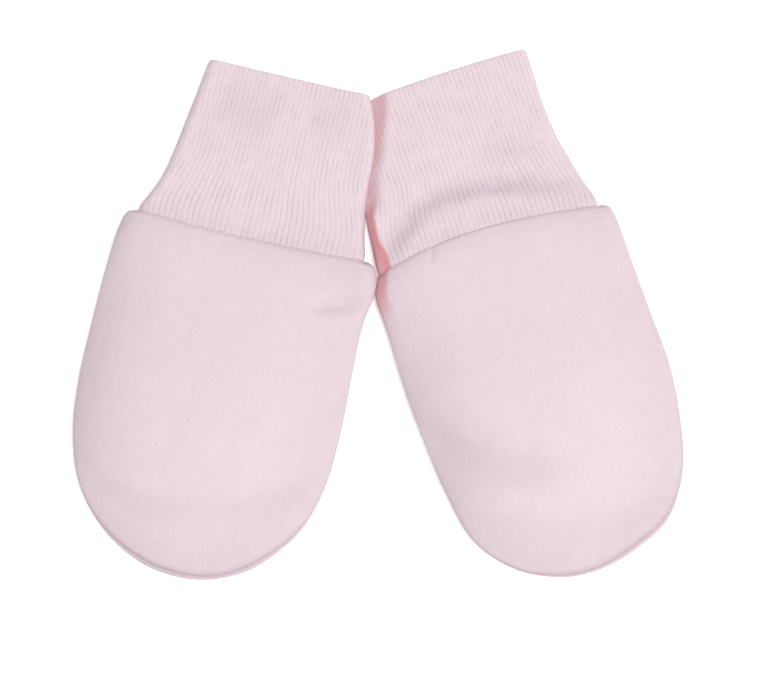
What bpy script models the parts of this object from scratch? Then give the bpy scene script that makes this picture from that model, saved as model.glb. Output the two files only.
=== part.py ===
"""A pair of baby scratch mittens, laid flat side by side with the cuffs away from the viewer.

Each mitten is a front panel and a back panel, joined round the hand by a side seam, and a rib cuff that is folded
double. Every piece is a wall of cloth. X runs across the pair, Y from the fingertips to the cuffs and Z up.
Sizes are in millimetres, in each mitten's own frame: y is 0 where the cuff joins, and x is 0 on its middle line.
"""

from collections import namedtuple
from math import cos, exp, hypot, pi, radians, sin, sqrt

import bmesh
import bpy

MM = 0.001

# The cloth
BODY_WALL = 1.4
CUFF_WALL = 1.4
SEAM_GAP = 0.3
BODY_PINK = (0.86, 0.70, 0.74)
CUFF_PINK = (0.85, 0.68, 0.72)

# Heights over the surface that the pair lies on
CUFF_HOLLOW = 0.5
CUFF_UNDER_AT_SEAM = BODY_WALL + SEAM_GAP
CUFF_TOP_AT_SEAM = CUFF_UNDER_AT_SEAM + 2 * CUFF_WALL + CUFF_HOLLOW
BODY_TOP = CUFF_TOP_AT_SEAM + SEAM_GAP + BODY_WALL
SIDE_SEAM_HEIGHT = BODY_TOP / 2
SEAM_UPRIGHT = 0.35
TIP_TOP = 5.4
CUFF_TOP_AT_FOLD = 4.2

# The body panels
BACK_ROLL = 3.6
DOME_SHARE = 0.2
DOME_STARTS, DOME_FULL = 5.0, 25.0
TIP_SLOPE_STARTS = 58.0
SPINE_END = 61.0
SPINE_EVEN_SHARE = 0.25
STEPS_PER_ROW = 2
ROLL_STEPS = 4
CROWN_STEPS = 4
EDGE_CHAMFER = 0.3

# The cuffs
CUFF_TUCK = 3.0
CUFF_ROLL = 2.6
CUFF_LANDS = 9.0
RIBS = 40
RIB_RELIEF = 0.3
UNDER_STEPS = 16
UNDER_ROLL_STEPS = 4
INNER_ROLL_SHARE = 0.7
RIBS_START = 0.8
FOLD_ROUND = 0.7

# Each mitten: where its frame lies in the pair, and how the cuff seam and the cuff's fold bend.
# seam_bow is how far the seam's middle lies towards the fold, and seam_skew moves that to one side.
MITTENS = {
    "left": {
        "place": (-33.94, 20.48),
        "turn": -12.5,
        "seam_bow": -1.3,
        "seam_skew": 0.0,
        "fold_bow": -0.3,
        "fold_lean": -0.5,
    },
    "right": {
        "place": (30.06, 19.68),
        "turn": 18.0,
        "seam_bow": 3.3,
        "seam_skew": -0.3,
        "fold_bow": 1.2,
        "fold_lean": 0.6,
    },
}

# The outline of a body, from the left shoulder round the fingertips to the right shoulder, with the middle row at
# the tip. roll is how wide the front rounds down to its edge, and lip how far the back shows past the front.
Outline = namedtuple("Outline", "x y roll lip")
OUTLINE_TABLE = {
    "left": (
        (-33.2, 0.1, 3.8, 0.0),
        (-35.3, -1.7, 4.6, 0.0),
        (-36.3, -7.0, 6.5, 0.0),
        (-36.9, -18.0, 9.0, 0.0),
        (-37.1, -33.0, 9.5, 0.0),
        (-36.9, -48.0, 9.5, 0.0),
        (-35.1, -62.5, 8.5, 0.0),
        (-30.2, -76.0, 7.0, 0.2),
        (-21.5, -86.2, 6.0, 0.8),
        (-10.6, -92.6, 5.5, 0.9),
        (0.4, -94.7, 5.5, 0.7),
        (11.0, -93.1, 5.5, 0.8),
        (21.0, -87.5, 5.5, 0.8),
        (30.3, -76.0, 5.5, 0.3),
        (34.3, -62.5, 5.5, 0.0),
        (35.1, -48.0, 5.5, 0.0),
        (34.7, -33.0, 5.5, 0.0),
        (34.5, -18.5, 5.0, 0.0),
        (35.5, -8.0, 4.4, 0.0),
        (34.9, -3.4, 4.2, 0.0),
        (32.9, -0.7, 3.8, 0.0),
    ),
    "right": (
        (-31.9, -0.7, 3.8, 0.0),
        (-32.9, -2.8, 4.4, 0.0),
        (-33.9, -7.5, 6.0, 0.0),
        (-34.5, -18.0, 7.5, 0.0),
        (-34.6, -33.0, 8.0, 0.0),
        (-34.0, -48.0, 8.0, 0.0),
        (-32.8, -62.5, 7.5, 0.0),
        (-29.8, -77.0, 6.5, 0.0),
        (-21.6, -87.5, 5.5, 0.0),
        (-10.8, -93.2, 5.5, 0.2),
        (-0.3, -94.5, 5.5, 0.5),
        (11.0, -92.2, 5.5, 0.8),
        (21.8, -87.0, 5.5, 0.9),
        (29.5, -76.0, 5.5, 0.6),
        (33.3, -62.5, 5.5, 0.2),
        (35.3, -48.0, 5.5, 0.0),
        (35.1, -33.0, 5.5, 0.0),
        (34.9, -18.0, 5.0, 0.0),
        (34.8, -7.0, 4.6, 0.0),
        (34.4, -2.4, 4.4, 0.0),
        (32.5, -0.2, 3.8, 0.0),
    ),
}

# The x of each cuff's two side folds, from its tucked end to the fold
CuffEdge = namedtuple("CuffEdge", "y left right")
CUFF_TABLE = {
    "left": (
        (-CUFF_TUCK, -31.2, 30.8),
        (1.0, -31.4, 30.9),
        (4.5, -30.3, 30.1),
        (9.0, -28.8, 29.1),
        (14.5, -27.3, 28.1),
        (21.0, -26.2, 27.5),
        (28.0, -25.3, 27.3),
        (35.0, -24.3, 26.2),
        (41.0, -23.6, 24.4),
        (45.0, -23.0, 22.5),
    ),
    "right": (
        (-CUFF_TUCK, -29.7, 30.3),
        (1.0, -30.0, 30.5),
        (4.5, -30.8, 29.9),
        (9.0, -30.4, 29.0),
        (13.5, -29.8, 28.3),
        (19.5, -27.8, 27.1),
        (25.5, -25.1, 26.5),
        (32.0, -21.6, 26.2),
        (39.0, -19.1, 26.5),
        (46.0, -18.1, 26.6),
    ),
}

# The largest folds, each along its points. down is how far the cloth dips, and across how far to each side.
Fold = namedtuple("Fold", "down across points")
BODY_FOLD_TABLE = {
    "left": (
        (0.5, 4.0, ((-27, -75), (-14, -77.5), (3, -77), (20, -74.5), (31, -66))),
        (0.6, 2.6, ((22, -15.8), (34, -12.6))),
    ),
    "right": (
        (0.5, 4.0, ((-24, -74), (-8, -81), (8, -84.5), (22, -80))),
        (0.9, 5.0, ((-33, -46), (-30, -56), (-12, -65))),
    ),
}
CUFF_FOLD_TABLE = {
    "left": (
        (0.4, 5.0, ((-19, 35), (-4, 31))),
        (0.4, 5.0, ((8, 39), (18.5, 37.5))),
    ),
    "right": (
        (0.8, 2.8, ((-23, 5), (-17, 9.5), (-9, 12.4), (7, 11.4), (24, 7))),
        (0.3, 4.0, ((1, 26), (13, 22), (24, 20))),
    ),
}

OUTLINES = {side: [Outline(*row) for row in rows] for side, rows in OUTLINE_TABLE.items()}
CUFF_EDGES = {side: [CuffEdge(*row) for row in rows] for side, rows in CUFF_TABLE.items()}
BODY_FOLDS = {side: [Fold(*row) for row in rows] for side, rows in BODY_FOLD_TABLE.items()}
CUFF_FOLDS = {side: [Fold(*row) for row in rows] for side, rows in CUFF_FOLD_TABLE.items()}


def ease(value, start, end):
    """From 0 at start to 1 at end, level at both."""
    part = min(1.0, max(0.0, (value - start) / (end - start)))
    return part * part * (3 - 2 * part)


def through(rows, position):
    """A smooth curve through the rows, read at a whole or part row number (Catmull-Rom)."""
    index = min(int(position), len(rows) - 2)
    part = position - index
    before, here = rows[max(index - 1, 0)], rows[index]
    there, after = rows[index + 1], rows[min(index + 2, len(rows) - 1)]
    return [
        0.5 * (2 * b + (c - a) * part + (2 * a - 5 * b + 4 * c - d) * part**2 + (3 * b - a - 3 * c + d) * part**3)
        for a, b, c, d in zip(before, here, there, after)
    ]


def distance_to_line(x, y, points):
    """How far a place is from a line through the points."""
    nearest = float("inf")
    for (ax, ay), (bx, by) in zip(points, points[1:]):
        length_squared = (bx - ax) ** 2 + (by - ay) ** 2
        part = min(1.0, max(0.0, ((x - ax) * (bx - ax) + (y - ay) * (by - ay)) / length_squared))
        nearest = min(nearest, hypot(x - ax - part * (bx - ax), y - ay - part * (by - ay)))
    return nearest


def dip(folds, x, y):
    """How far the folds bring the cloth down at a place."""
    return sum(fold.down * exp(-((distance_to_line(x, y, fold.points) / fold.across) ** 2)) for fold in folds)


def bend_seam(side, x, y):
    """The y of a place once the cuff seam and the cuff's fold are bent as they lie."""
    mitten = MITTENS[side]
    half_width = CUFF_EDGES[side][0].right
    across = max(-1.0, min(1.0, x / half_width))
    bowed = 1 - across**2
    seam = mitten["seam_bow"] * bowed * (1 + mitten["seam_skew"] * across)
    fold = mitten["fold_bow"] * bowed + mitten["fold_lean"] * across
    fold_y = CUFF_EDGES[side][-1].y
    return y + seam * (1 - ease(abs(y), 4, 28)) + fold * ease(y, 10, fold_y)


def front_height(y):
    """The front's height on the middle line: level over the hand, lower towards the fingertips."""
    tip_y = OUTLINES["left"][len(OUTLINES["left"]) // 2].y
    return BODY_TOP + (TIP_TOP - BODY_TOP) * ease(-y, TIP_SLOPE_STARTS, -tip_y)


def ray(side, position):
    """One line of cloth from the side seam in to the middle: its two ends, its roll and its lip."""
    rows = OUTLINES[side]
    x, y, roll, lip = through(rows, position)
    other_x = through(rows, len(rows) - 1 - position)[0]
    tip_row = len(rows) // 2
    even = 1 - abs(position - tip_row) / tip_row
    depth = min(1.0, max(0.0, y / rows[tip_row].y))
    inward = (1 - SPINE_EVEN_SHARE) * (1 - (1 - depth) ** 2) + SPINE_EVEN_SHARE * even
    return (x, y), ((x + other_x) / 2 * (1 - even), -SPINE_END * inward), roll, lip


def panel_line(side, position, is_front):
    """The points of one ray on the outer face of the front or the back."""
    (edge_x, edge_y), (spine_x, spine_y), roll, lip = ray(side, position)
    length = hypot(spine_x - edge_x, spine_y - edge_y)
    toward = ((spine_x - edge_x) / length, (spine_y - edge_y) / length)
    inset = lip if is_front else 0.0
    roll = roll if is_front else BACK_ROLL
    seam_height = SIDE_SEAM_HEIGHT + (SEAM_GAP / 2 if is_front else -SEAM_GAP / 2)
    rise_from = seam_height + (SEAM_UPRIGHT if is_front else -SEAM_UPRIGHT)
    steps = [(inset, 0.0)]
    steps += [
        (inset + roll * (1 - cos(pi / 2 * step / ROLL_STEPS)), sin(pi / 2 * step / ROLL_STEPS))
        for step in range(ROLL_STEPS + 1)
    ]
    inner = inset + roll
    steps += [(inner + (length - inner) * step / CROWN_STEPS, 1.0) for step in range(1, CROWN_STEPS + 1)]
    points = []
    for number, (inward, rounded) in enumerate(steps):
        x = edge_x + toward[0] * inward
        y = edge_y + toward[1] * inward
        if number == 0:
            z = seam_height
        elif is_front:
            share = DOME_SHARE * ease(-y, DOME_STARTS, DOME_FULL)
            domed = 1 - (1 - inward / length) ** 2
            z = rise_from + (front_height(y) - rise_from) * ((1 - share) * rounded + share * domed)
            z -= dip(BODY_FOLDS[side], x, y) * rounded
        else:
            z = rise_from * (1 - rounded)
        points.append((x, bend_seam(side, x, y), z))
    return points


def mesh_object(name, bm, colour, roughness, parent, collection):
    """An object of this mesh, in metres, on its mitten's empty, with its own cloth."""
    bmesh.ops.scale(bm, vec=(MM, MM, MM), verts=bm.verts)
    mesh = bpy.data.meshes.new(name)
    bm.to_mesh(mesh)
    bm.free()
    material = bpy.data.materials.new(name + "_cloth")
    material.use_nodes = True
    shader = material.node_tree.nodes["Principled BSDF"]
    shader.inputs["Base Color"].default_value = (*colour, 1)
    shader.inputs["Roughness"].default_value = roughness
    shader.inputs["Metallic"].default_value = 0
    mesh.materials.append(material)
    mesh.shade_smooth()
    piece = bpy.data.objects.new(name, mesh)
    piece.parent = parent
    collection.objects.link(piece)
    return piece


def add_panel(side, is_front, parent, collection):
    """The front or back of a body: rays from the side seam in, joined along the middle, given a wall."""
    count = (len(OUTLINES[side]) - 1) * STEPS_PER_ROW
    bm = bmesh.new()
    lines = []
    for number in range(count + 1):
        points = panel_line(side, number / STEPS_PER_ROW, is_front)
        line = [bm.verts.new(point) for point in points[:-1]]
        line.append(lines[count - number][-1] if number > count / 2 else bm.verts.new(points[-1]))
        lines.append(line)
    for line, following in zip(lines, lines[1:]):
        for step in range(len(line) - 1):
            corners = (line[step], following[step], following[step + 1], line[step + 1])
            bm.faces.new(corners if is_front else corners[::-1])
    name = side + ("_front" if is_front else "_back")
    panel = mesh_object(name, bm, BODY_PINK, 0.85, parent, collection)
    wall = panel.modifiers.new("wall", "SOLIDIFY")
    wall.thickness = BODY_WALL * MM
    wall.offset = -1
    wall.use_even_offset = True
    chamfer = panel.modifiers.new("edges", "BEVEL")
    chamfer.width = EDGE_CHAMFER * MM
    chamfer.segments = 1
    chamfer.limit_method = "ANGLE"
    chamfer.angle_limit = radians(60)


def half_ring(left, right, level, reach, roll, steps, roll_steps=None):
    """The points of a cuff's upper or lower half at one station, with the way each faces, from left to right.

    reach is how far the half goes from the level of the side folds: up if it is above 0. Steps are even along
    the cloth, or roll_steps of them go round each side.
    """
    bend = pi / 2 * sqrt((roll**2 + reach**2) / 2)
    flat = right - left - 2 * roll
    share = roll_steps / steps if roll_steps else bend / (2 * bend + flat)
    points = []
    for step in range(steps + 1):
        along = step / steps
        nearer = min(along, 1 - along)
        if nearer < share:
            angle = pi / 2 * nearer / share
            out, up = roll * (1 - cos(angle)), reach * sin(angle)
            facing = (-cos(angle) * abs(reach), sin(angle) * roll)
        else:
            out, up = roll + flat * (nearer - share) / (1 - 2 * share), reach
            facing = (0.0, 1.0)
        size = hypot(*facing)
        turn = 1 if along <= 0.5 else -1
        x = left + out if along <= 0.5 else right - out
        sign = 1 if reach > 0 else -1
        points.append((x, level + up, facing[0] / size * turn, facing[1] / size * sign))
    return points


def cuff_ring(side, y, left, right, inset, thinned):
    """A ring of a cuff's cloth: its upper half with the ribs raised, then its underside back to the start.

    inset is how far the ring lies inside the outer face, and thinned leaves out every second point.
    """
    seamward = 1 - ease(y, 1.0, CUFF_LANDS)
    under = CUFF_UNDER_AT_SEAM * seamward + inset
    fold_y = CUFF_EDGES[side][-1].y
    top = CUFF_TOP_AT_SEAM + (CUFF_TOP_AT_FOLD - CUFF_TOP_AT_SEAM) * ease(y, 1.0, fold_y) - inset
    level = (under + top) / 2
    roll = CUFF_ROLL - inset * INNER_ROLL_SHARE
    relief = RIB_RELIEF * (1 - inset / CUFF_WALL) * ease(y, 0.0, RIBS_START)
    pitch = 2 if thinned else 1
    upper = half_ring(left + inset, right - inset, level, top - level, roll, 2 * RIBS // pitch)
    lower_steps = (UNDER_STEPS // pitch, UNDER_ROLL_STEPS // pitch)
    lower = half_ring(left + inset, right - inset, level, under - level, roll, *lower_steps)
    ring = []
    for number, (x, z, facing_x, facing_z) in enumerate(upper):
        raised = relief * (number % 2) * (not thinned)
        z -= dip(CUFF_FOLDS[side], x, y) * ease(z, level, top)
        ring.append((x + facing_x * raised, bend_seam(side, x, y), z + facing_z * raised))
    for number in range(len(lower) - 2, 0, -1):
        x, z, facing_x, facing_z = lower[number]
        raised = relief * (number % 2) * (not thinned) * (1 - abs(facing_z) ** 4)
        ring.append((x + facing_x * raised, bend_seam(side, x, y), z + facing_z * raised))
    return ring


def join_rings(bm, ring, following):
    """Faces between two rings of as many points."""
    for number, corner in enumerate(ring):
        after = (number + 1) % len(ring)
        bm.faces.new((corner, following[number], following[after], ring[after]))


def join_to_thinned(bm, ring, thinned, turned):
    """Faces between a ring and one of half as many points."""
    for number, corner in enumerate(thinned):
        near, middle, far = (ring[(2 * number + step) % len(ring)] for step in range(3))
        next_corner = thinned[(number + 1) % len(thinned)]
        for face in ((near, corner, middle), (corner, next_corner, middle), (middle, next_corner, far)):
            bm.faces.new(face[::-1] if turned else face)


def add_cuff(side, parent, collection):
    """A cuff: a flattened tube, ribbed outside and plain inside, with a rounded fold at its free end."""
    bm = bmesh.new()
    rows = CUFF_EDGES[side]
    outer = []
    inner = []
    for y, left, right in rows:
        outer.append([bm.verts.new(point) for point in cuff_ring(side, y, left, right, 0.0, False)])
        inner.append([bm.verts.new(point) for point in cuff_ring(side, y, left, right, CUFF_WALL, True)])
    y, left, right = rows[-1]
    fold = [bm.verts.new(point) for point in cuff_ring(side, y + FOLD_ROUND, left, right, CUFF_WALL / 2, False)]
    for ring, following in zip(outer, outer[1:] + [fold]):
        join_rings(bm, ring, following)
    join_to_thinned(bm, fold, inner[-1], False)
    for ring, following in zip(inner, inner[1:]):
        join_rings(bm, following, ring)
    join_to_thinned(bm, outer[0], inner[0], True)
    bmesh.ops.recalc_face_normals(bm, faces=bm.faces)
    mesh_object(side + "_cuff", bm, CUFF_PINK, 0.9, parent, collection)


def main():
    for old in list(bpy.data.objects):
        bpy.data.objects.remove(old, do_unlink=True)
    collection = bpy.data.collections.new("scratch_mittens")
    bpy.context.scene.collection.children.link(collection)
    for side, mitten in MITTENS.items():
        frame = bpy.data.objects.new(side + "_mitten", None)
        frame.location = (mitten["place"][0] * MM, mitten["place"][1] * MM, 0)
        frame.rotation_euler = (0, 0, radians(mitten["turn"]))
        collection.objects.link(frame)
        add_panel(side, True, frame, collection)
        add_panel(side, False, frame, collection)
        add_cuff(side, frame, collection)


main()
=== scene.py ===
"""A pair of baby scratch mittens, laid flat side by side: soft interlock bodies and rib cuffs folded double.

The places and folds are given in millimetres in each mitten's own frame, as in the model: y is 0 where the cuff
joins and falls towards the fingertips, x is 0 on the middle line, and z is the height over the surface.
"""

from collections import namedtuple
from math import cos, exp, hypot, pi, radians, sin, sqrt

import bmesh
import bpy
from mathutils import Matrix, Vector, noise


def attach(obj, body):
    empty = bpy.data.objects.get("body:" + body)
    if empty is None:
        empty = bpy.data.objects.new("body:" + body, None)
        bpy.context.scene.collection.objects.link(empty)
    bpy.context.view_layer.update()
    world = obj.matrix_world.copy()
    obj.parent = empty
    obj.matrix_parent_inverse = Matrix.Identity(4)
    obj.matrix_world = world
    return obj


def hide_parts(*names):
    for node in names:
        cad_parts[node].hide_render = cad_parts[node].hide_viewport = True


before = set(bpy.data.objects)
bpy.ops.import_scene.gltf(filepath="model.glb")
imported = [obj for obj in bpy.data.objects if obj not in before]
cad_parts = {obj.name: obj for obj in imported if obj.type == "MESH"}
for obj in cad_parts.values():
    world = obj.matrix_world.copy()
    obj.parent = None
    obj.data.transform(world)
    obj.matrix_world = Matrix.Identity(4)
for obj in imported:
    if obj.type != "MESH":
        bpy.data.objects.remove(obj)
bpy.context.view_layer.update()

MM = 0.001

# Heights and walls, as in the model
BODY_TOP = 6.7
SIDE_SEAM_HEIGHT = 3.35
TIP_TOP = 5.4
BACK_ROLL = 3.6
SPINE_END = 61.0
SPINE_EVEN_SHARE = 0.25
CUFF_WALL = 1.4
CUFF_UNDER_AT_SEAM = 1.7
CUFF_TOP_AT_SEAM = 5.0
CUFF_TOP_AT_FOLD = 4.2
CUFF_TUCK = 3.0
CUFF_ROLL = 2.6
CUFF_LEAVES_SEAM, CUFF_LANDS = 1.0, 9.0
FOLD_BEND_STARTS = 10
INNER_ROLL_SHARE = 0.7

# The loft of the front, fuller than the model's: how it domes across, swells over the hand and falls to the tip
DOME_SHARE = 0.78
DOME_POWER = 2.6
DOME_STARTS, DOME_FULL = 2.0, 25.0
CROWN_RISE = 4.3
CROWN_STARTS, CROWN_FULL = 0.0, 46.0
TIP_SLOPE_STARTS = 54.0

# The body cloth: one layer of interlock, turned in along its seams and at the cuff
CLOTH = 0.8
CLOTH_AT_SEAM = 0.08
SEAM_CURL = 0.4
SEAM_GAP = 0.04
LIP_WIDER = 1.4
LIP_RAGGED, LIP_RAGGED_SIZE, LIP_RAGGED_FROM = 0.16, 1.7, (60, 78)
RIM_ROUND = 1.6
RIM_DROP, BACK_RIM_RISE = 0.2, 0.38
RIM_CLOSED, RIM_CLOSES = 0.93, (-1.5, 0.5)
RIM_SLOPE, RIM_SLOPE_ENDS = 1.05, 6.0
PUCKER, PUCKER_SIZE, PUCKER_ENDS = 0.14, 1.3, (0.5, 4.5)
BODY_UNEVEN, BODY_UNEVEN_SIZE = 0.06, 22
SEAM_BEND_ENDS = (4, 28)

# How much darker the cloth is where less light reaches it, as a share of a seam's depth: on the walls, for each
# millimetre of a fold, by the cuff, where the rims close beyond it, and from each side inwards
EDGE_SHADE, TIP_EDGE_SHADE, BACK_TIP_EDGE_SHADE = 0.25, 1.3, 0.4
FOLD_SHADE = 0.14
MOUTH_SHADE, MOUTH_SHADE_ENDS = 0.07, 14.0
RIM_CLOSED_SHADE = 0.9
SideShade = namedtuple("SideShade", "left tip right reach")
SIDE_SHADE = SideShade(0.24, 0.17, 0.14, 20.0)

# Points of cloth: steps round a body for each row of its outline, then from the seam in, then round and along a cuff
STEPS_PER_ROW = 16
CURL_STEPS, ROLL_STEPS, CROWN_STEPS = 4, 18, 42
RIBS = 40
STEPS_PER_RIB = 10
OUTER_STEPS, FOLD_STEPS, INNER_STEPS = 84, 8, 22
MEETING_POINTS = 0.01

# The cuffs' rib: how far it stands up, where along and across a cuff it starts, narrows, softens and is clear, how
# patchy it is and how it sways, how the cuff swells, and how much shade is painted in its purl hollows, by the seam
# and in its folds
RIB_RELIEF = 0.1
KNIT_HALF_WIDTH = 0.37
PURL_HEIGHT = 0.1
RIBS_START = (-0.8, 1.2)
RIBS_NARROW = (2, 22)
RIBS_SOFTEN, RIBS_SOFTEN_ACROSS = (8, 34), (-15, 15)
RIBS_AT_SIDE_FOLD, RIBS_CLEAR = 0.3, (1, 10)
RIBS_PATCHY, RIBS_PATCHY_SIZE = 1.1, 6
RIB_SWAY = 0.12
CUFF_SWELL, CUFF_SWELL_AT, CUFF_SWELL_SIZE = 0.6, 3.2, 3.4
CUFF_UNEVEN, CUFF_UNEVEN_SIZE = 0.1, 16
RIB_SHADE = 0.2
CUFF_MOUTH_SHADE, CUFF_MOUTH_AT, CUFF_MOUTH_SIZE = 0.6, 0.3, 2.8
CUFF_FOLD_SHADE = 0.9

# The left cuff's edge lies over the right cuff's: where along them, how far in from the edges, and how high
OVERLAP_STARTS, OVERLAP_FULL = 14.0, 20.0
OVERLAP_REACH = 6.0
OVERLAP_HEIGHT = 2.3
OVERLAP_TOP = 4.7
OVERLAP_GAP = 0.2

# Painted light bounced from the other mitten, a dull rose on what faces it: on the right mitten's left shoulder, on
# its cuff's left wall, less where that lies under the other cuff and in one lighter patch, and a trace on the left
# cuff's right edge
SHOULDER_BOUNCE = 0.75
SHOULDER_BOUNCE_INWARD, SHOULDER_BOUNCE_DOWN = (2.3, 3.9), (5, 16)
WALL_BOUNCE, FACING_BOUNCE = 0.75, 0.12
BOUNCE_UNDER_OTHER = 0.5
BOUNCE_PATCH_LESS, BOUNCE_PATCH_AT, BOUNCE_PATCH_SIZE = 0.5, 27, 3.5

# The knit, in millimetres, and how many patches of clearer and fainter stitches, of shade and of fibres a metre has
WALE = 0.89
COURSE = 0.62
RIB_COURSE = 0.7
STREAK_LENGTH = 2.6
STITCH_SLANT = 1.3
PATCHES_PER_M = 240.0
MOTTLE_PER_M = 70.0
FIBRES_PER_M = 2300.0

# The camera: what it looks at, and from where
CAMERA_TARGET = (0.64, -8.2, 3.0)
CAMERA_DISTANCE = 684.9
CAMERA_ELEVATION = 80
LENS, SENSOR = 120, 36

# Each mitten: where its frame lies in the pair, how the cuff seam and the cuff's fold bend, how far apart the ribs
# are and how clear, at the seam and towards the fold, and the seed of its cloth's unevenness
MITTENS = {
    "left": {
        "place": (-33.94, 20.48),
        "turn": -12.5,
        "seam_bow": -1.3,
        "seam_skew": 0.0,
        "fold_bow": -0.3,
        "fold_lean": -0.5,
        "rib_pitch": (1.51, 1.23),
        "rib_depth": (0.55, 0.28),
        "seed": 3.0,
    },
    "right": {
        "place": (30.06, 19.68),
        "turn": 18.0,
        "seam_bow": 3.3,
        "seam_skew": -0.3,
        "fold_bow": 1.2,
        "fold_lean": 0.6,
        "rib_pitch": (1.45, 1.25),
        "rib_depth": (0.62, 0.55),
        "seed": 41.0,
    },
}

# The outline of a body, from the left shoulder round the fingertips to the right shoulder.
# roll is how wide the front rounds down to its edge, and lip how far the back shows past the front.
Outline = namedtuple("Outline", "x y roll lip")
OUTLINE_TABLE = {
    "left": (
        (-32.6, 0.0, 3.8, 0.0),
        (-35.0, -1.3, 4.6, 0.0),
        (-36.3, -7.0, 6.5, 0.0),
        (-36.9, -18.0, 9.0, 0.0),
        (-37.1, -33.0, 9.5, 0.0),
        (-36.9, -48.0, 9.5, 0.0),
        (-35.1, -62.5, 8.5, 0.0),
        (-30.2, -76.0, 7.0, 0.0),
        (-21.5, -86.2, 6.0, 0.35),
        (-10.6, -92.6, 5.5, 0.8),
        (0.4, -94.7, 5.5, 0.8),
        (11.0, -93.1, 5.5, 0.65),
        (21.0, -87.5, 5.5, 0.8),
        (30.3, -76.0, 5.5, 0.45),
        (34.3, -62.5, 5.5, 0.0),
        (35.1, -48.0, 5.5, 0.0),
        (34.7, -33.0, 5.5, 0.0),
        (34.5, -18.5, 5.0, 0.0),
        (35.8, -8.2, 4.4, 0.0),
        (34.7, -2.6, 4.2, 0.0),
        (32.4, -0.6, 3.8, 0.0),
    ),
    "right": (
        (-31.9, -0.7, 3.8, 0.0),
        (-33.0, -3.0, 4.4, 0.0),
        (-34.4, -6.6, 5.6, 0.0),
        (-34.3, -16.5, 7.5, 0.0),
        (-34.6, -33.0, 8.0, 0.0),
        (-34.0, -48.0, 8.0, 0.0),
        (-32.8, -62.5, 7.5, 0.0),
        (-29.8, -77.0, 6.5, 0.0),
        (-21.6, -87.5, 5.5, 0.1),
        (-10.8, -93.2, 5.5, 0.3),
        (-0.3, -94.5, 5.5, 0.5),
        (11.0, -92.2, 5.5, 0.85),
        (21.8, -87.0, 5.5, 0.65),
        (29.5, -76.0, 5.5, 0.15),
        (33.3, -62.5, 5.5, 0.0),
        (35.3, -48.0, 5.5, 0.0),
        (35.1, -33.0, 5.5, 0.0),
        (34.9, -18.0, 5.0, 0.0),
        (34.8, -7.0, 4.6, 0.0),
        (34.1, -2.1, 4.4, 0.0),
        (32.1, -0.7, 3.8, 0.0),
    ),
}

# The x of each cuff's two side folds, from its tucked end to the fold
CuffEdge = namedtuple("CuffEdge", "y left right")
CUFF_TABLE = {
    "left": (
        (-CUFF_TUCK, -31.6, 30.8),
        (1.0, -31.9, 30.9),
        (4.5, -30.6, 30.1),
        (9.0, -28.8, 29.1),
        (14.5, -27.3, 28.1),
        (21.0, -26.2, 27.5),
        (28.0, -25.3, 27.3),
        (35.0, -24.3, 26.2),
        (41.0, -23.6, 24.4),
        (45.0, -23.0, 22.5),
    ),
    "right": (
        (-CUFF_TUCK, -31.2, 30.7),
        (1.0, -31.6, 31.2),
        (4.5, -31.3, 30.4),
        (9.0, -30.8, 29.2),
        (13.5, -30.3, 28.3),
        (19.5, -29.4, 27.1),
        (25.5, -27.4, 26.5),
        (32.0, -24.1, 26.2),
        (39.0, -21.6, 26.5),
        (46.0, -19.8, 26.6),
    ),
}

# Creases and swellings, each along its points. down is how far the cloth dips, or swells where it is below 0, and
# across is how far to each side.
FOLD_RUNS_OUT = 0.3
Fold = namedtuple("Fold", "down across points")
FRONT_FOLD_TABLE = {
    "left": (
        (
            0.75,
            3.2,
            ((-34, -68), (-27, -74), (-16, -78.8), (-2, -77.6), (10.7, -74.3), (23, -69), (31, -61), (37, -54)),
        ),
        (-0.25, 3.0, ((-24, -81), (-13.7, -85.5), (-3.6, -87.8), (5.6, -86.5), (16, -83))),
        (1.1, 2.0, ((18, -17.0), (23, -15.2), (29, -13.4), (35, -11.6), (40, -10))),
        (-0.2, 2.4, ((24.5, -21), (32.5, -18.6))),
        (-0.3, 9.0, ((-8, -56), (6, -60))),
        (-0.14, 12.0, ((2, -24), (8, -44))),
    ),
    "right": (
        (0.5, 3.4, ((-34, -68), (-23, -73.7), (-7.4, -81.5), (8.1, -85.2), (21, -81), (32, -74))),
        (1.6, 5.6, ((-42, -34), (-34, -46), (-27, -54), (-19, -60), (-8, -65), (4, -68))),
        (0.4, 0.8, ((-14.0, 4.0), (-15.2, 0.5), (-16.2, -2.6), (-17.4, -6.0))),
        (-0.35, 7.0, ((-8, -52), (2, -50), (14, -47))),
        (0.18, 7.0, ((-28, -20), (-25, -36))),
        (0.14, 6.0, ((22, -26), (30.8, -31.6))),
    ),
}
BACK_FOLD_TABLE = {
    "left": (
        (0.5, 3.0, ((-30, -20), (-14, -27), (4, -26))),
        (0.4, 2.6, ((31, -52), (16, -60), (-2, -58))),
        (0.35, 3.2, ((-22, -79), (0, -84), (20, -78))),
    ),
    "right": (
        (0.5, 3.0, ((30, -16), (15, -24), (-2, -25))),
        (0.45, 2.8, ((-30, -50), (-12, -56), (6, -50))),
        (0.35, 3.2, ((-18, -81), (2, -85), (22, -77))),
    ),
}
CUFF_FOLD_TABLE = {
    "left": (
        (0.5, 7.0, ((-22, 38), (-11, 35), (0, 32))),
        (0.4, 5.5, ((4, 36), (14, 38), (19, 37.7))),
        (-0.15, 7.0, ((-16, 18), (14, 20))),
    ),
    "right": (
        (
            1.05,
            3.4,
            ((-38, -4), (-30, 1), (-25, 5.2), (-17, 11), (-9.6, 13.2), (0, 12.6), (12, 10), (26, 6.4), (38, 3)),
        ),
        (-0.3, 2.2, ((-15, 6), (0, 7.4), (14, 5.6))),
        (0.3, 4.0, ((1.7, 25.9), (13.1, 21.6), (23.6, 20.3))),
        (-0.2, 7.0, ((-12, 26), (0, 36))),
    ),
}

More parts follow.
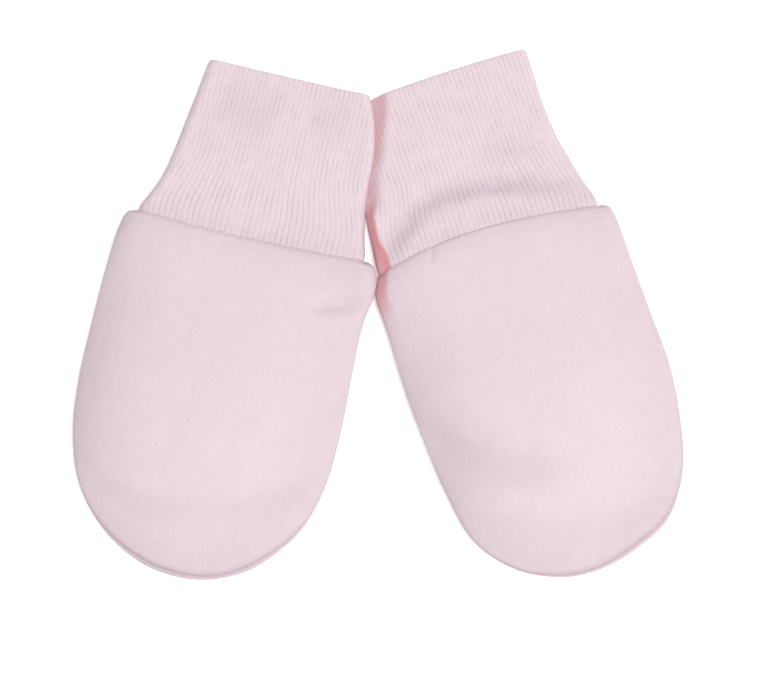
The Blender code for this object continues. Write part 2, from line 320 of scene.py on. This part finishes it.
OUTLINES = {side: [Outline(*row) for row in rows] for side, rows in OUTLINE_TABLE.items()}
CUFF_EDGES = {side: [CuffEdge(*row) for row in rows] for side, rows in CUFF_TABLE.items()}
FRONT_FOLDS = {side: [Fold(*row) for row in rows] for side, rows in FRONT_FOLD_TABLE.items()}
BACK_FOLDS = {side: [Fold(*row) for row in rows] for side, rows in BACK_FOLD_TABLE.items()}
CUFF_FOLDS = {side: [Fold(*row) for row in rows] for side, rows in CUFF_FOLD_TABLE.items()}

# A point of cloth: its place, its place on the flat knit, how much shade is painted on it, 1 being as dark as deep
# in a seam, which also thins a body's wall, and how much rose light bounced from the other mitten is painted on it,
# from 0 to 1
Point = namedtuple("Point", "x y z across along deep rose")


# Shapes


def ease(value, start, end):
    """From 0 at start to 1 at end, level at both."""
    part = min(1.0, max(0.0, (value - start) / (end - start)))
    return part * part * (3 - 2 * part)


def hill(value, middle, size):
    """1 at the middle, and next to nothing twice this size from it."""
    return exp(-(((value - middle) / size) ** 2))


def through(rows, position):
    """A smooth curve through the rows, read at a whole or part row number (Catmull-Rom)."""
    index = min(int(position), len(rows) - 2)
    part = position - index
    before, here = rows[max(index - 1, 0)], rows[index]
    there, after = rows[index + 1], rows[min(index + 2, len(rows) - 1)]
    return [
        0.5 * (2 * b + (c - a) * part + (2 * a - 5 * b + 4 * c - d) * part**2 + (3 * b - a - 3 * c + d) * part**3)
        for a, b, c, d in zip(before, here, there, after)
    ]


def near_line(x, y, points):
    """How far a place is from a line through the points, and how far along the line it is, from 0 to 1."""
    nearest, along = float("inf"), 0.0
    for number, ((ax, ay), (bx, by)) in enumerate(zip(points, points[1:])):
        length_squared = (bx - ax) ** 2 + (by - ay) ** 2
        part = min(1.0, max(0.0, ((x - ax) * (bx - ax) + (y - ay) * (by - ay)) / length_squared))
        away = hypot(x - ax - part * (bx - ax), y - ay - part * (by - ay))
        if away < nearest:
            nearest, along = away, (number + part) / (len(points) - 1)
    return nearest, along


def dip(folds, x, y):
    """How far the folds, which run out towards both their ends, bring the cloth down at a place."""
    total = 0.0
    for fold in folds:
        away, along = near_line(x, y, fold.points)
        total += fold.down * hill(away, 0, fold.across) * ease(min(along, 1 - along), 0, FOLD_RUNS_OUT)
    return total


def wander(x, y, size, seed):
    """A smooth unevenness of the cloth, about -1 to 1, that turns over about this many millimetres."""
    return noise.noise(Vector((x / size, y / size, seed)))


def bend_seam(side, x, y):
    """The y of a place once the cuff seam and the cuff's fold are bent as they lie."""
    mitten = MITTENS[side]
    half_width = CUFF_EDGES[side][0].right
    across = max(-1.0, min(1.0, x / half_width))
    bowed = 1 - across**2
    seam = mitten["seam_bow"] * bowed * (1 + mitten["seam_skew"] * across)
    fold = mitten["fold_bow"] * bowed + mitten["fold_lean"] * across
    fold_y = CUFF_EDGES[side][-1].y
    return y + seam * (1 - ease(abs(y), *SEAM_BEND_ENDS)) + fold * ease(y, FOLD_BEND_STARTS, fold_y)


def front_height(y):
    """The front's height on the middle line: it swells over the hand and is lower towards the fingertips.

    The left body's tip stands for both.
    """
    tip_y = OUTLINES["left"][len(OUTLINES["left"]) // 2].y
    crown = BODY_TOP + CROWN_RISE * ease(-y, CROWN_STARTS, CROWN_FULL)
    return crown + (TIP_TOP - crown) * ease(-y, TIP_SLOPE_STARTS, -tip_y)


def ray(side, position):
    """One line of cloth from the side seam in to the middle: its two ends, its roll and its lip."""
    rows = OUTLINES[side]
    tip_row = len(rows) // 2
    x, y, roll, lip = through(rows, position)
    mirrored = through(rows, len(rows) - 1 - position)
    left_y = y if position <= tip_row else mirrored[1]
    even = 1 - abs(position - tip_row) / tip_row
    depth = min(1.0, max(0.0, left_y / rows[tip_row].y))
    inward = (1 - SPINE_EVEN_SHARE) * (1 - (1 - depth) ** 2) + SPINE_EVEN_SHARE * even
    return (x, y), ((x + mirrored[0]) / 2 * (1 - even), -SPINE_END * inward), roll, lip


def mouth_y(side, x):
    """The y of the body's edge at the cuff, before the seam is bent."""
    first, last = OUTLINES[side][0], OUTLINES[side][-1]
    return first.y * x / first.x if x < 0 else last.y * x / last.x


def panel_steps(is_front, roll, lip, length):
    """How far in and how far round each point of a ray is: round the seam's curl, up or down the side, then level.

    Round is 0 at the seam and 1 on the level; below 0 it is inside the seam.
    """
    inset = lip if is_front else 0.0
    tuck = SEAM_CURL if is_front else SEAM_CURL + lip
    steps = []
    for step in range(CURL_STEPS):
        angle = pi / 2 * step / CURL_STEPS
        steps.append((inset + tuck * (1 - sin(angle)), -cos(angle)))
    for step in range(ROLL_STEPS + 1):
        angle = pi / 2 * step / ROLL_STEPS
        steps.append((inset + roll * (1 - cos(angle)), sin(angle)))
    inner = inset + roll
    steps += [(inner + (length - inner) * step / CROWN_STEPS, 1.0) for step in range(1, CROWN_STEPS + 1)]
    return steps


def panel_line(side, position, is_front):
    """The points of one ray on the outer face of the front or the back."""
    (edge_x, edge_y), (spine_x, spine_y), roll, lip = ray(side, position)
    seed = MITTENS[side]["seed"]
    length = hypot(spine_x - edge_x, spine_y - edge_y)
    toward = ((spine_x - edge_x) / length, (spine_y - edge_y) / length)
    ragged = LIP_RAGGED * wander(edge_x, edge_y, LIP_RAGGED_SIZE, seed) * ease(-edge_y, *LIP_RAGGED_FROM)
    lip = max(0.0, LIP_WIDER * lip + ragged)
    curl = SEAM_CURL if is_front else SEAM_CURL + 0.5 * lip
    points = []
    for inward, rounded in panel_steps(is_front, roll if is_front else BACK_ROLL, lip, length):
        x = edge_x + toward[0] * inward
        y = edge_y + toward[1] * inward
        # Shade painted inside the seam's curl, darkest deepest in it
        deep = max(0.0, -rounded) ** 4
        round_share = max(0.0, rounded)
        mouth = mouth_y(side, x)
        behind = mouth - y
        y = min(y, mouth)
        rim = (1 - min(1.0, max(0.0, behind) / RIM_ROUND)) ** 2
        cuff_edge = CUFF_EDGES[side][1]
        past_cuff = RIM_CLOSED * ease(max(cuff_edge.left - x, x - cuff_edge.right), *RIM_CLOSES)
        pucker = wander(x, 0, PUCKER_SIZE, seed + 7) * (1 - ease(behind, *PUCKER_ENDS))
        if is_front:
            rise_from = SIDE_SEAM_HEIGHT + curl
            share = DOME_SHARE * ease(-y, DOME_STARTS, DOME_FULL)
            domed = 1 - max(0.0, 1 - inward / length) ** DOME_POWER
            z = rise_from + (front_height(y) - rise_from) * ((1 - share) * round_share + share * domed)
            z -= curl * max(0.0, -rounded)
            uneven = BODY_UNEVEN * wander(x, y, BODY_UNEVEN_SIZE, seed)
            z -= (dip(FRONT_FOLDS[side], x, y) - uneven) * round_share
            z -= RIM_SLOPE * (1 - min(1.0, max(0.0, behind) / RIM_SLOPE_ENDS)) ** 2 * round_share
            z += PUCKER * pucker * round_share
            down = rim * (RIM_DROP + (1 - RIM_DROP) * past_cuff)
            z = SIDE_SEAM_HEIGHT + SEAM_GAP / 2 + (z - SIDE_SEAM_HEIGHT) * (1 - down)
        else:
            rise_from = SIDE_SEAM_HEIGHT - curl
            z = rise_from * (1 - round_share) + curl * max(0.0, -rounded)
            z += max(0.0, dip(BACK_FOLDS[side], x, y)) * round_share
            z += (SIDE_SEAM_HEIGHT - z) * rim * (BACK_RIM_RISE + (1 - BACK_RIM_RISE) * past_cuff)
            z -= SEAM_GAP / 2 * (1 - round_share)
        # Painted shade: darker on the sides the light falls away from, most on the left, by the cuff seam, in the
        # front's folds, at the edges, most at the tips, and where the rims close past the cuff
        facing = (
            SIDE_SHADE.left * max(0.0, toward[0])
            + SIDE_SHADE.right * max(0.0, -toward[0])
            + SIDE_SHADE.tip * max(0.0, toward[1])
        )
        shade = facing * (1 - ease(inward, 0, SIDE_SHADE.reach)) + MOUTH_SHADE * (1 - ease(behind, 0, MOUTH_SHADE_ENDS))
        if is_front:
            shade += FOLD_SHADE * max(0.0, dip(FRONT_FOLDS[side], x, y)) * round_share
        at_tip = TIP_EDGE_SHADE if is_front else BACK_TIP_EDGE_SHADE
        edge = (EDGE_SHADE + (at_tip - EDGE_SHADE) * max(0.0, toward[1])) * (1 - round_share) ** 1.5
        deep = max(deep, edge, shade, RIM_CLOSED_SHADE * past_cuff * rim**2)
        # Painted light bounced from the left mitten: rose on the right mitten's left shoulder, where less shade is
        # painted
        rose = 0.0
        if side == "right" and x < 0:
            rose = SHOULDER_BOUNCE * (1 - ease(inward, *SHOULDER_BOUNCE_INWARD)) * (1 - ease(-y, *SHOULDER_BOUNCE_DOWN))
            deep *= 1 - rose
        points.append(Point(x, bend_seam(side, x, y), max(0.0, z), x, y, deep, rose))
    return points


def half_point(left, right, level, reach, roll, along):
    """A point of a cuff's upper or lower half at one station, with the way it faces, from left at 0 to right at 1.

    reach is how far the half goes from the level of the side folds: up if it is above 0.
    """
    bend = pi / 2 * sqrt((roll**2 + reach**2) / 2)
    flat = right - left - 2 * roll
    share = bend / (2 * bend + flat)
    nearer = min(along, 1 - along)
    if nearer < share:
        angle = pi / 2 * nearer / share
        out, up = roll * (1 - cos(angle)), reach * sin(angle)
        facing = (-cos(angle) * abs(reach), sin(angle) * roll)
    else:
        out, up = roll + flat * (nearer - share) / (1 - 2 * share), reach
        facing = (0.0, 1.0)
    size = hypot(*facing)
    turn = 1 if along <= 0.5 else -1
    x = left + out if along <= 0.5 else right - out
    return x, level + up, facing[0] / size * turn, facing[1] / size * (1 if reach > 0 else -1)


def rib_profile(rib):
    """How high the rib knit stands, from 0 to 1: a raised knit column at each half, a low purl column between."""
    from_knit = abs(rib % 1 - 0.5)
    if from_knit < KNIT_HALF_WIDTH:
        return 1 - (1 - PURL_HEIGHT * 0.2) * (from_knit / KNIT_HALF_WIDTH) ** 2
    from_purl = (0.5 - from_knit) / (0.5 - KNIT_HALF_WIDTH)
    return PURL_HEIGHT * (1 - 0.8 * from_purl**2)


def cuff_ring(side, row, inset, beyond, turned_in):
    """A ring of a cuff's cloth, in steps that follow the ribs, on the ribbed outer face or the plainer inner one.

    inset is how far the ring lies inside the outer face, beyond how far it lies past its row, and turned_in how
    far it has gone round the fold, from 0 to 1.
    """
    y, left, right = through(CUFF_EDGES[side], row)
    seed = MITTENS[side]["seed"]
    narrowed = ease(y, *RIBS_NARROW)
    pitch_at_seam, pitch_at_fold = MITTENS[side]["rib_pitch"]
    depth_at_seam, depth_at_fold = MITTENS[side]["rib_depth"]
    pitch = pitch_at_seam + (pitch_at_fold - pitch_at_seam) * narrowed
    first, last = RIBS / 2 + left / pitch, RIBS / 2 + right / pitch
    seamward = 1 - ease(y, CUFF_LEAVES_SEAM, CUFF_LANDS)
    under = CUFF_UNDER_AT_SEAM * seamward + inset
    fold_y = CUFF_EDGES[side][-1].y
    top = CUFF_TOP_AT_SEAM + (CUFF_TOP_AT_FOLD - CUFF_TOP_AT_SEAM) * ease(y, CUFF_LEAVES_SEAM, fold_y) - inset
    level = (under + top) / 2
    roll = CUFF_ROLL - inset * INNER_ROLL_SHARE
    overlap = ease(y, OVERLAP_STARTS, OVERLAP_FULL)
    # Painted shade by the cuff seam and in the cuff's folds, and in each point's low purl columns
    mouth_shade = CUFF_MOUTH_SHADE * hill(y, CUFF_MOUTH_AT, CUFF_MOUTH_SIZE)
    swell = CUFF_SWELL * hill(y, CUFF_SWELL_AT, CUFF_SWELL_SIZE)
    ring = []
    for number in range(2 * RIBS * STEPS_PER_RIB + 1):
        rib = number / STEPS_PER_RIB
        past = (rib - first) % (2 * RIBS)
        on_top = past <= last - first
        along = past / (last - first) if on_top else (2 * RIBS - past) / (2 * RIBS - last + first)
        reach = (top if on_top else under) - level
        x, z, facing_x, facing_z = half_point(left + inset, right - inset, level, reach, roll, along)
        from_fold = min(x - left, right - x)
        softer = ease(y, *RIBS_SOFTEN) * (1 - 0.5 * ease(x, *RIBS_SOFTEN_ACROSS))
        clear = RIBS_AT_SIDE_FOLD + (1 - RIBS_AT_SIDE_FOLD) * ease(from_fold, *RIBS_CLEAR)
        clear *= (1 + RIBS_PATCHY * wander(rib * 3.1, y, RIBS_PATCHY_SIZE, seed + 2)) * ease(y, *RIBS_START)
        clear *= depth_at_seam + (depth_at_fold - depth_at_seam) * softer
        high = rib_profile(rib)
        relief = RIB_RELIEF * clear * (1 - 0.75 * turned_in)
        lifted = relief * (1 - max(0.0, -facing_z) ** 3) * (1 - turned_in)
        raised = lifted - relief * (1 - high)
        sway = RIB_SWAY * wander(x * 0.4, y, 6, seed + 5)
        over = ease(z, level, top) if on_top and turned_in < 0.5 else 0.0
        fold = dip(CUFF_FOLDS[side], x, y) * over
        shade = mouth_shade + CUFF_FOLD_SHADE * max(0.0, fold)
        z -= fold
        uneven = CUFF_UNEVEN * wander(x, y, CUFF_UNEVEN_SIZE, seed + 1)
        z += (uneven + swell) * over
        # Painted light bounced between the cuffs: rose on the right cuff's left wall, less under the left cuff and
        # in one patch, and a trace on the left cuff's right edge
        rose = 0.0
        if side == "right" and turned_in < 0.9:
            wide = 1.7 + 0.8 * overlap + 1.5 * (1 - ease(y, 2, 9)) + 1.8 * ease(y, 34, 42)
            wall = 1 - ease(x - left, wide, wide + 1.2 + 1.6 * overlap) if x < 0 else 0.0
            patch = BOUNCE_PATCH_LESS * hill(y, BOUNCE_PATCH_AT, BOUNCE_PATCH_SIZE)
            rose = wall * (WALL_BOUNCE + (1 - WALL_BOUNCE) * ease(x - left, 0.3, wide))
            rose *= (1 - BOUNCE_UNDER_OTHER * overlap) * (1 - patch)
        elif side == "left" and turned_in < 0.9:
            rose = FACING_BOUNCE * (1 - ease(right - x, 0.2, 1.0)) if x > 0 else 0.0
        z = max(0.0, z + facing_z * raised)
        if side == "left":
            above = overlap * ease(x, right - OVERLAP_REACH, right)
            z += (OVERLAP_HEIGHT + (OVERLAP_TOP - OVERLAP_HEIGHT) * z / CUFF_TOP_AT_FOLD - z) * above
        else:
            pressed = overlap * (1 - ease(x, left, left + OVERLAP_REACH))
            z *= 1 - (1 - (OVERLAP_HEIGHT - OVERLAP_GAP) / CUFF_TOP_AT_FOLD) * pressed
        ring.append(
            Point(
                x + facing_x * raised + sway * (1 - abs(facing_x)),
                bend_seam(side, x, y + beyond),
                z,
                rib,
                y + beyond if turned_in < 0.5 else 2 * fold_y - y - beyond,
                RIB_SHADE * (1 - high) * clear + shade,
                rose,
            )
        )
    return ring


def cuff_stations(side):
    """Each ring of a cuff: its row, inset, how far past the row it lies, and how far it has gone round the fold."""
    last = len(CUFF_EDGES[side]) - 1
    wall = CUFF_WALL / 2
    stations = [(last * step / OUTER_STEPS, 0.0, 0.0, 0.0) for step in range(OUTER_STEPS)]
    for step in range(FOLD_STEPS + 1):
        angle = pi * step / FOLD_STEPS
        stations.append((last, wall * (1 - cos(angle)), wall * sin(angle), step / FOLD_STEPS))
    stations += [(last * (1 - step / INNER_STEPS), 2 * wall, 0.0, 1.0) for step in range(1, INNER_STEPS + 1)]
    return stations


# Meshes


def lay_cloth(lines):
    """A bmesh of this cloth, in its mitten's frame, from lines of points laid on a grid.

    Points that meet, along the middle of a panel or a cuff's side, become one.
    """
    bm = bmesh.new()
    knit = bm.loops.layers.uv.new("knit")
    # Shade and light painted on each point: painted shade, and light bounced from the other mitten
    deep = bm.verts.layers.float.new("deep")
    rose = bm.verts.layers.float.new("rose")
    bmesh.ops.create_grid(bm, x_segments=len(lines) - 1, y_segments=len(lines[0]) - 1, size=0.5)
    bm.verts.ensure_lookup_table()
    laid = {}
    for vert in bm.verts:
        point = lines[round((vert.co.x + 0.5) * (len(lines) - 1))][round((vert.co.y + 0.5) * (len(lines[0]) - 1))]
        laid[vert] = point
        vert[deep] = point.deep
        vert[rose] = point.rose
        vert.co = point[:3]
    for face in bm.faces:
        for loop in face.loops:
            loop[knit].uv = (laid[loop.vert].across / 100, laid[loop.vert].along / 100)
    bmesh.ops.remove_doubles(bm, verts=bm.verts, dist=MEETING_POINTS)
    bmesh.ops.recalc_face_normals(bm, faces=bm.faces)
    return bm


def place_cloth(name, bm, side, material, node):
    """The finished object of a piece of cloth, in its mitten's place, standing for its solid."""
    mitten = MITTENS[side]
    bmesh.ops.rotate(bm, verts=bm.verts, matrix=Matrix.Rotation(radians(mitten["turn"]), 3, "Z"))
    bmesh.ops.translate(bm, verts=bm.verts, vec=(*mitten["place"], 0))
    bmesh.ops.scale(bm, verts=bm.verts, vec=(MM, MM, MM))
    mesh = bpy.data.meshes.new(name)
    bm.to_mesh(mesh)
    bm.free()
    mesh.materials.append(material)
    mesh.shade_smooth()
    piece = bpy.data.objects.new(name, mesh)
    bpy.context.scene.collection.objects.link(piece)
    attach(piece, "root")
    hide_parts(node)
    return piece


def add_panel(side, is_front, material):
    """The front or back of a body: rays from the side seam in, joined along the middle, given a wall."""
    count = (len(OUTLINES[side]) - 1) * STEPS_PER_ROW
    lines = [panel_line(side, number / STEPS_PER_ROW, is_front) for number in range(count + 1)]
    bm = lay_cloth(lines)
    facing = sum(face.normal.z * face.calc_area() for face in bm.faces)
    if (facing > 0) != is_front:
        bmesh.ops.reverse_faces(bm, faces=bm.faces)
    name = side + ("_front" if is_front else "_back")
    panel = place_cloth(name + "_panel", bm, side, material, name)
    # The wall is thinner where more shade is painted, down to its seam thickness deep in a seam
    thinning = panel.vertex_groups.new(name="wall")
    deep = panel.data.attributes["deep"].data
    for number, value in enumerate(deep):
        thinning.add([number], 1 - min(1.0, value.value), "REPLACE")
    wall = panel.modifiers.new("wall", "SOLIDIFY")
    wall.thickness = CLOTH * MM
    wall.offset = -1
    wall.vertex_group = "wall"
    wall.thickness_vertex_group = CLOTH_AT_SEAM
    return panel


def add_cuff(side, material):
    """A cuff: rib knit folded double and closed into a flattened tube."""
    lines = [cuff_ring(side, *station) for station in cuff_stations(side)]
    bm = lay_cloth(lines)
    tucked = [edge for edge in bm.edges if edge.is_boundary]
    bmesh.ops.bridge_loops(bm, edges=tucked)
    bmesh.ops.recalc_face_normals(bm, faces=bm.faces)
    return place_cloth(side + "_rib_cuff", bm, side, material, side + "_cuff")


# Materials


def linear(colour):
    """The linear colour, with its alpha, of an sRGB hex colour."""
    parts = [int(colour[start : start + 2], 16) / 255 for start in (0, 2, 4)]
    return (*(part / 12.92 if part <= 0.04045 else ((part + 0.055) / 1.055) ** 2.4 for part in parts), 1.0)


def add_node(tree, kind, inputs=None, **settings):
    """A node with its settings, and its inputs, each a value or the output of another node."""
    made = tree.nodes.new(kind)
    for name, value in settings.items():
        setattr(made, name, value)
    for name, value in (inputs or {}).items():
        if isinstance(value, bpy.types.NodeSocket):
            tree.links.new(value, made.inputs[name])
        else:
            made.inputs[name].default_value = value
    return made


def new_material(name):
    """A material with an empty tree, and that tree."""
    material = bpy.data.materials.new(name)
    material.use_nodes = True
    material.node_tree.nodes.clear()
    return material, material.node_tree


def jersey(name, wale, course, light, base, shade_colour, bounce_colour, stitch_shade, painted_shade_share, groove):
    """Fine cotton knit. Soft and matt, with rows of small V stitches and a faint halo of fibre ends.

    wale and course are how wide and how long a stitch is, in units of the flat knit. light and base are the
    cloth's two tones; shade_colour is the painted shade it goes to where less light reaches, and bounce_colour the
    painted light bounced from the other mitten, a dull rose. stitch_shade and painted_shade_share are how far the
    stitch grooves and the points' painted shade go to shade_colour, and groove is how sharp a column's sides are.
    """
    material, tree = new_material(name)
    flat = add_node(tree, "ShaderNodeUVMap", uv_map="knit")
    per_stitch = add_node(
        tree, "ShaderNodeMapping", {"Vector": flat.outputs[0], "Scale": (100 / wale, 100 / course, 1)}
    )
    parts = add_node(tree, "ShaderNodeSeparateXYZ", {0: per_stitch.outputs[0]})
    wale_part = add_node(tree, "ShaderNodeMath", {0: parts.outputs[0]}, operation="FRACT")
    wale_middle = add_node(tree, "ShaderNodeMath", {0: wale_part.outputs[0], 1: 0.5}, operation="SUBTRACT")
    from_middle = add_node(tree, "ShaderNodeMath", {0: wale_middle.outputs[0]}, operation="ABSOLUTE")
    slanted = add_node(
        tree,
        "ShaderNodeMath",
        {0: from_middle.outputs[0], 1: STITCH_SLANT, 2: parts.outputs[1]},
        operation="MULTIPLY_ADD",
    )
    course_part = add_node(tree, "ShaderNodeMath", {0: slanted.outputs[0]}, operation="FRACT")
    course_middle = add_node(tree, "ShaderNodeMath", {0: course_part.outputs[0], 1: 0.5}, operation="SUBTRACT")
    from_leg = add_node(tree, "ShaderNodeMath", {0: course_middle.outputs[0]}, operation="ABSOLUTE")
    wale_dip = add_node(tree, "ShaderNodeMath", {0: from_middle.outputs[0], 1: groove}, operation="POWER")
    leg_dip = add_node(tree, "ShaderNodeMath", {0: from_leg.outputs[0], 1: 2.0}, operation="POWER")
    dips = add_node(
        tree,
        "ShaderNodeMath",
        {0: wale_dip.outputs[0], 1: 0.6 * 2**groove, 2: leg_dip.outputs[0]},
        operation="MULTIPLY_ADD",
    )
    stitch = add_node(tree, "ShaderNodeMath", {0: 1.0, 1: dips.outputs[0]}, operation="SUBTRACT")
    column = add_node(tree, "ShaderNodeMath", {0: parts.outputs[0]}, operation="FLOOR")
    column_apart = add_node(tree, "ShaderNodeMath", {0: column.outputs[0], 1: 3.7}, operation="MULTIPLY")
    down_column = add_node(
        tree, "ShaderNodeMath", {0: parts.outputs[1], 1: course / STREAK_LENGTH}, operation="MULTIPLY"
    )
    streaks_at = add_node(tree, "ShaderNodeCombineXYZ", {0: column_apart.outputs[0], 1: down_column.outputs[0]})
    streaks = add_node(
        tree,
        "ShaderNodeTexNoise",
        {"Vector": streaks_at.outputs[0], "Scale": 1.0, "Detail": 2.0, "Roughness": 0.6},
        noise_dimensions="2D",
    )
    place = add_node(tree, "ShaderNodeTexCoord")
    mottle = add_node(
        tree, "ShaderNodeTexNoise", {"Vector": place.outputs["Object"], "Scale": MOTTLE_PER_M, "Detail": 2.0}
    )
    fibre = add_node(
        tree,
        "ShaderNodeTexNoise",
        {"Vector": place.outputs["Object"], "Scale": FIBRES_PER_M, "Detail": 2.0, "Roughness": 0.65},
    )
    streaked = add_node(
        tree,
        "ShaderNodeMath",
        {0: mottle.outputs[0], 1: 0.3, 2: streaks.outputs[0]},
        operation="MULTIPLY_ADD",
    )
    uneven = add_node(
        tree,
        "ShaderNodeMath",
        {0: fibre.outputs[0], 1: 2.0, 2: streaked.outputs[0]},
        operation="MULTIPLY_ADD",
    )
    shade = add_node(
        tree,
        "ShaderNodeMapRange",
        {"Value": uneven.outputs[0], "From Min": 1.05, "From Max": 2.25, "To Min": 0.0, "To Max": 1.0},
    )
    dyed = add_node(
        tree,
        "ShaderNodeMix",
        {0: shade.outputs[0], 6: linear(base), 7: linear(light)},
        data_type="RGBA",
    )
    patches = add_node(
        tree, "ShaderNodeTexNoise", {"Vector": place.outputs["Object"], "Scale": PATCHES_PER_M, "Detail": 1.0}
    )
    clearer = add_node(
        tree,
        "ShaderNodeMapRange",
        {"Value": patches.outputs[0], "From Min": 0.35, "From Max": 0.65, "To Min": 0.3, "To Max": 1.7},
    )
    # Painted shade in the grooves between stitches, more in clearer patches
    grooves = add_node(
        tree,
        "ShaderNodeMapRange",
        {"Value": stitch.outputs[0], "From Min": 0.2, "From Max": 0.85, "To Min": stitch_shade, "To Max": 0.0},
    )
    groove_shade = add_node(
        tree, "ShaderNodeMath", {0: grooves.outputs[0], 1: clearer.outputs[0]}, operation="MULTIPLY"
    )
    # How much painted shade each place has, from its points and its stitch grooves, taking the cloth's tones towards
    # the shade colour
    deep = add_node(tree, "ShaderNodeAttribute", attribute_name="deep")
    tucked = add_node(
        tree,
        "ShaderNodeMath",
        {0: deep.outputs["Fac"], 1: painted_shade_share, 2: groove_shade.outputs[0]},
        operation="MULTIPLY_ADD",
        use_clamp=True,
    )
    colour = add_node(
        tree,
        "ShaderNodeMix",
        {0: tucked.outputs[0], 6: dyed.outputs[2], 7: linear(shade_colour)},
        data_type="RGBA",
    )
    stitch_bump = add_node(
        tree, "ShaderNodeBump", {"Height": stitch.outputs[0], "Strength": 0.25, "Distance": 0.00012}
    )
    fibre_bump = add_node(
        tree,
        "ShaderNodeBump",
        {"Height": fibre.outputs[0], "Strength": 0.2, "Distance": 0.0001, "Normal": stitch_bump.outputs[0]},
    )
    # Painted light bounced from the other mitten, mixed in as a dull rose
    rose = add_node(tree, "ShaderNodeAttribute", attribute_name="rose")
    bounce_lit = add_node(
        tree,
        "ShaderNodeMix",
        {0: rose.outputs["Fac"], 6: colour.outputs[2], 7: linear(bounce_colour)},
        data_type="RGBA",
    )
    cloth = add_node(
        tree,
        "ShaderNodeBsdfPrincipled",
        {
            "Base Color": bounce_lit.outputs[2],
            "Roughness": 0.92,
            "Specular IOR Level": 0.25,
            "Sheen Weight": 0.06,
            "Sheen Roughness": 0.45,
            "Subsurface Weight": 0.12,
            "Subsurface Radius": (1.0, 0.8, 0.85),
            "Subsurface Scale": 0.0015,
            "Normal": fibre_bump.outputs[0],
        },
    )
    add_node(tree, "ShaderNodeOutputMaterial", {"Surface": cloth.outputs[0]})
    return material


def paper_floor(name):
    """Matt white backdrop paper, with a faint grain."""
    material, tree = new_material(name)
    place = add_node(tree, "ShaderNodeTexCoord")
    grain = add_node(tree, "ShaderNodeTexNoise", {"Vector": place.outputs["Object"], "Scale": 900.0, "Detail": 2.0})
    bump = add_node(tree, "ShaderNodeBump", {"Height": grain.outputs[0], "Strength": 0.05, "Distance": 0.0001})
    paper = add_node(
        tree,
        "ShaderNodeBsdfPrincipled",
        {
            "Base Color": linear("F6F6F6"),
            "Roughness": 0.95,
            "Specular IOR Level": 0.1,
            "Emission Color": linear("FFFFFF"),
            "Emission Strength": 0.34,
            "Normal": bump.outputs[0],
        },
    )
    add_node(tree, "ShaderNodeOutputMaterial", {"Surface": paper.outputs[0]})
    return material


# The stage


def add_floor():
    """A wide sheet of white paper just under the pair."""
    bm = bmesh.new()
    bmesh.ops.create_grid(bm, x_segments=1, y_segments=1, size=2.0)
    bmesh.ops.translate(bm, verts=bm.verts, vec=(0, 0, -0.0001))
    mesh = bpy.data.meshes.new("floor")
    bm.to_mesh(mesh)
    bm.free()
    mesh.materials.append(paper_floor("white_backdrop_paper"))
    floor = bpy.data.objects.new("floor", mesh)
    bpy.context.scene.collection.objects.link(floor)


def add_lamp(name, place, size, power, colour):
    """A square soft light that faces the middle of the pair."""
    lamp = bpy.data.lights.new(name, "AREA")
    lamp.shape = "SQUARE"
    lamp.size = size
    lamp.energy = power
    lamp.color = linear(colour)[:3]
    holder = bpy.data.objects.new(name, lamp)
    holder.location = place
    holder.rotation_euler = (-Vector(place)).to_track_quat("-Z", "Y").to_euler()
    bpy.context.scene.collection.objects.link(holder)


def add_camera():
    """The photograph's view: from above, a little on the fingertips' side."""
    camera = bpy.data.cameras.new("camera")
    camera.lens = LENS
    camera.sensor_width = SENSOR
    camera.clip_start = 0.01
    holder = bpy.data.objects.new("camera", camera)
    target = Vector(CAMERA_TARGET) * MM
    elevation = radians(CAMERA_ELEVATION)
    away = Vector((0, -cos(elevation), sin(elevation))) * CAMERA_DISTANCE * MM
    holder.location = target + away
    holder.rotation_euler = (-away).to_track_quat("-Z", "Y").to_euler()
    bpy.context.scene.collection.objects.link(holder)
    bpy.context.scene.camera = holder


def add_world(colour, strength):
    """The even light of a white studio."""
    world = bpy.data.worlds.new("studio")
    world.use_nodes = True
    background = world.node_tree.nodes["Background"]
    background.inputs["Color"].default_value = linear(colour)
    background.inputs["Strength"].default_value = strength
    bpy.context.scene.world = world


def main():
    # In each knit, one colour and its share are painted shade, with more in the stitch grooves, and the rose colour
    # is painted light bounced from the other mitten
    interlock = jersey(
        "cotton_interlock",
        wale=WALE,
        course=COURSE,
        light="E1D3D9",
        base="D9CBD1",
        shade_colour="B39CA7",
        bounce_colour="CC8A90",
        stitch_shade=0.09,
        painted_shade_share=0.75,
        groove=2.0,
    )
    rib = jersey(
        "cotton_one_by_one_rib",
        wale=1.0,
        course=RIB_COURSE,
        light="E5D6DD",
        base="D9C9D0",
        shade_colour="A8949D",
        bounce_colour="CC8A90",
        stitch_shade=0.4,
        painted_shade_share=0.28,
        groove=5.0,
    )
    for side in MITTENS:
        back = add_panel(side, False, interlock)
        front = add_panel(side, True, interlock)
        cuff = add_cuff(side, rib)
    add_floor()
    add_lamp("key", place=(0.52, -0.35, 2.1), size=0.8, power=47.5, colour="FFFDFB")
    add_world("FBF4FB", strength=0.26)
    add_camera()
    scene = bpy.context.scene
    scene.view_settings.view_transform = "Standard"
    scene.view_settings.look = "None"


main()
